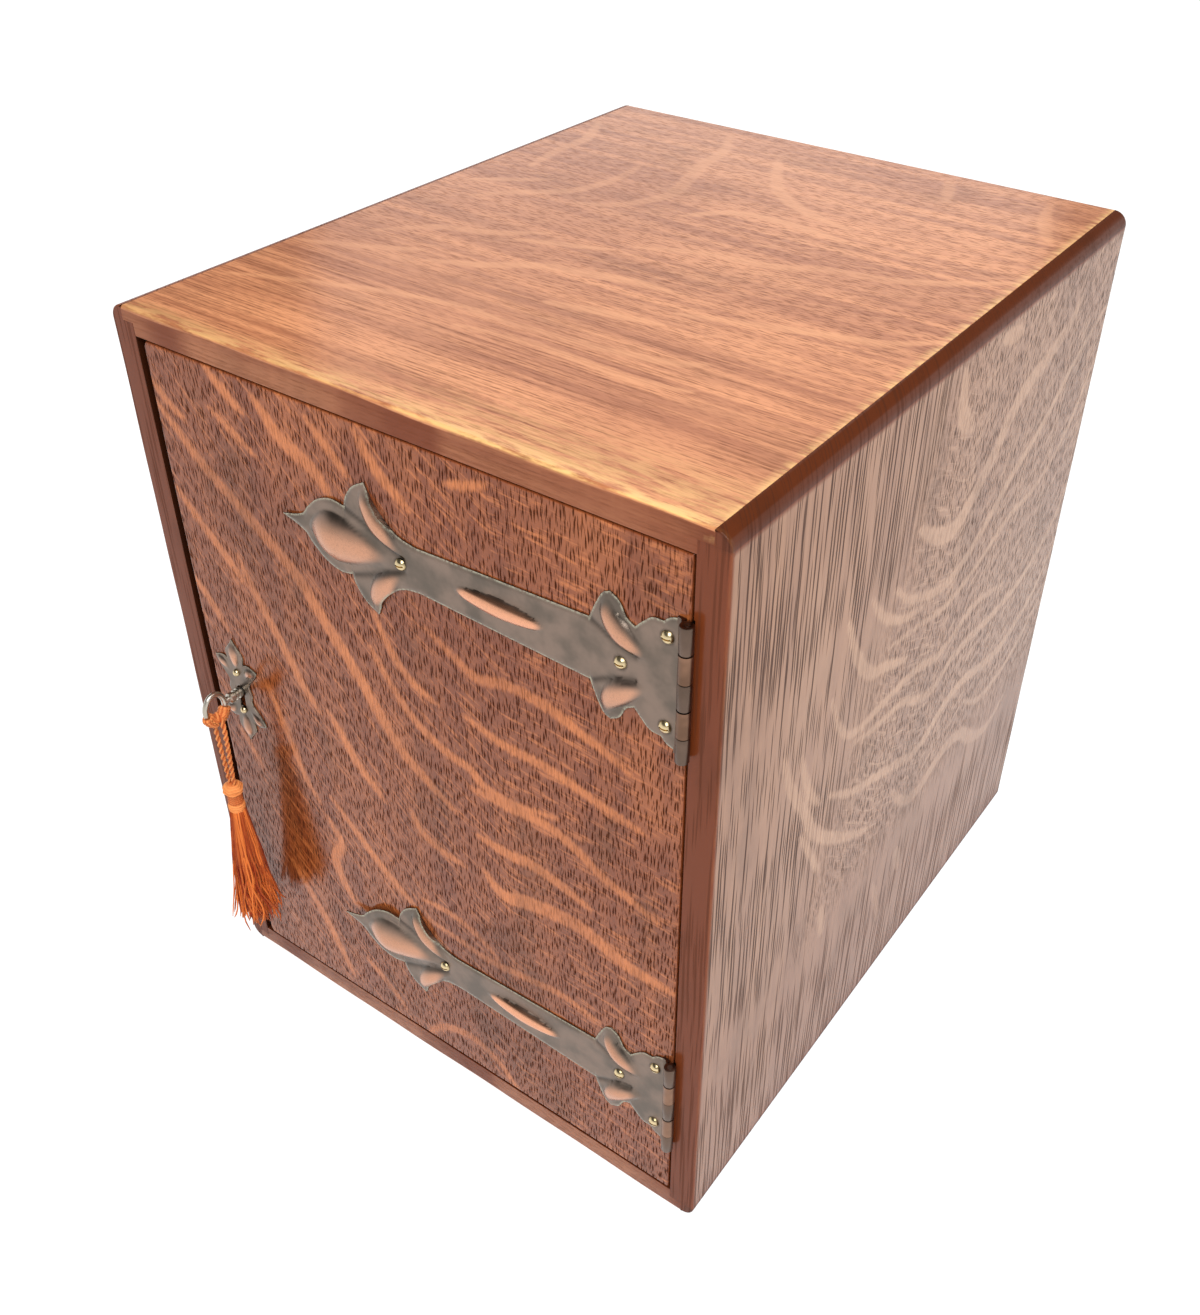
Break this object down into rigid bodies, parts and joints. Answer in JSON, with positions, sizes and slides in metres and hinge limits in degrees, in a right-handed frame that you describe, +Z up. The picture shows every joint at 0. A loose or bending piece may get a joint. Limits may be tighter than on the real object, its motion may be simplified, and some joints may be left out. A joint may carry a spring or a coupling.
{
  "type": "tabletop cabinet",
  "caption": "Tabletop oak cabinet: rounded box case, inset door on embossed copper strap hinges, cupboard lock, key with a tassel.",
  "frame": {"origin": "middle of the case's underside", "axes": "+X to the right as seen from the front, -Y towards the front, +Z up"},
  "size_m": [0.244, 0.3105, 0.31],
  "materials": {
    "oak_case": "gloss varnish",
    "oak_top": "gloss varnish",
    "oak_door": "gloss varnish",
    "oak_inside": "satin",
    "dark_copper": "dark patina",
    "bright_copper": "worn copper",
    "brass": "aged",
    "iron": "dark",
    "nickel": "polished",
    "silk": "silk"
  },
  "bodies": {
    "case": {"left_side": "oak_case", "right_side": "oak_case", "top_board": "oak_top", "bottom_board": "oak_top", "back_panel": "oak_inside", "back_nails": "iron", "shelf": "oak_inside", "door_stop": "oak_inside", "upper_case_leaf": "bright_copper", "lower_case_leaf": "bright_copper", "upper_hinge_pin": "iron", "lower_hinge_pin": "iron", "upper_leaf_screws": "brass", "lower_leaf_screws": "brass"},
    "door": {"door_panel": "oak_door", "upper_strap_hinge": "dark_copper", "lower_strap_hinge": "dark_copper", "upper_strap_screws": "brass", "lower_strap_screws": "brass", "escutcheon": "dark_copper", "escutcheon_pins": "brass", "lock_plate": "brass", "lock_cap": "iron", "lock_screws": "brass", "lock_drill_pin": "iron", "lock_spring": "iron"},
    "bolt": {"lock_bolt": "brass"},
    "key": {"key": "nickel"},
    "tassel": {"tassel_cord": "silk", "tassel_head": "silk", "tassel_skirt": "silk"}
  },
  "joints": [
    {"name": "door_swing", "type": "hinge", "parent": "case", "child": "door", "pos_m": [0.111, -0.1466, 0.155], "axis": [0, 0, 1], "range_deg": [0, 180]},
    {"name": "key_turn", "type": "hinge", "parent": "door", "child": "key", "pos_m": [-0.0934, -0.144, 0.158], "axis": [0, 1, 0], "range_deg": [0, 90]},
    {"name": "bolt_throw", "type": "slide", "parent": "door", "child": "bolt", "axis": [-1, 0, 0], "range_m": [0, 0.0065]},
    {"name": "tassel_hang", "type": "hinge", "parent": "key", "child": "tassel", "pos_m": [-0.0934, -0.1575, 0.1519], "axis": [0, 1, 0], "range_deg": [-90, 0]}
  ],
  "couplings": [
    {"joint": "key_turn", "follows": "bolt_throw", "rad_per_m": 241.66},
    {"joint": "tassel_hang", "follows": "bolt_throw", "rad_per_m": -241.66}
  ]
}
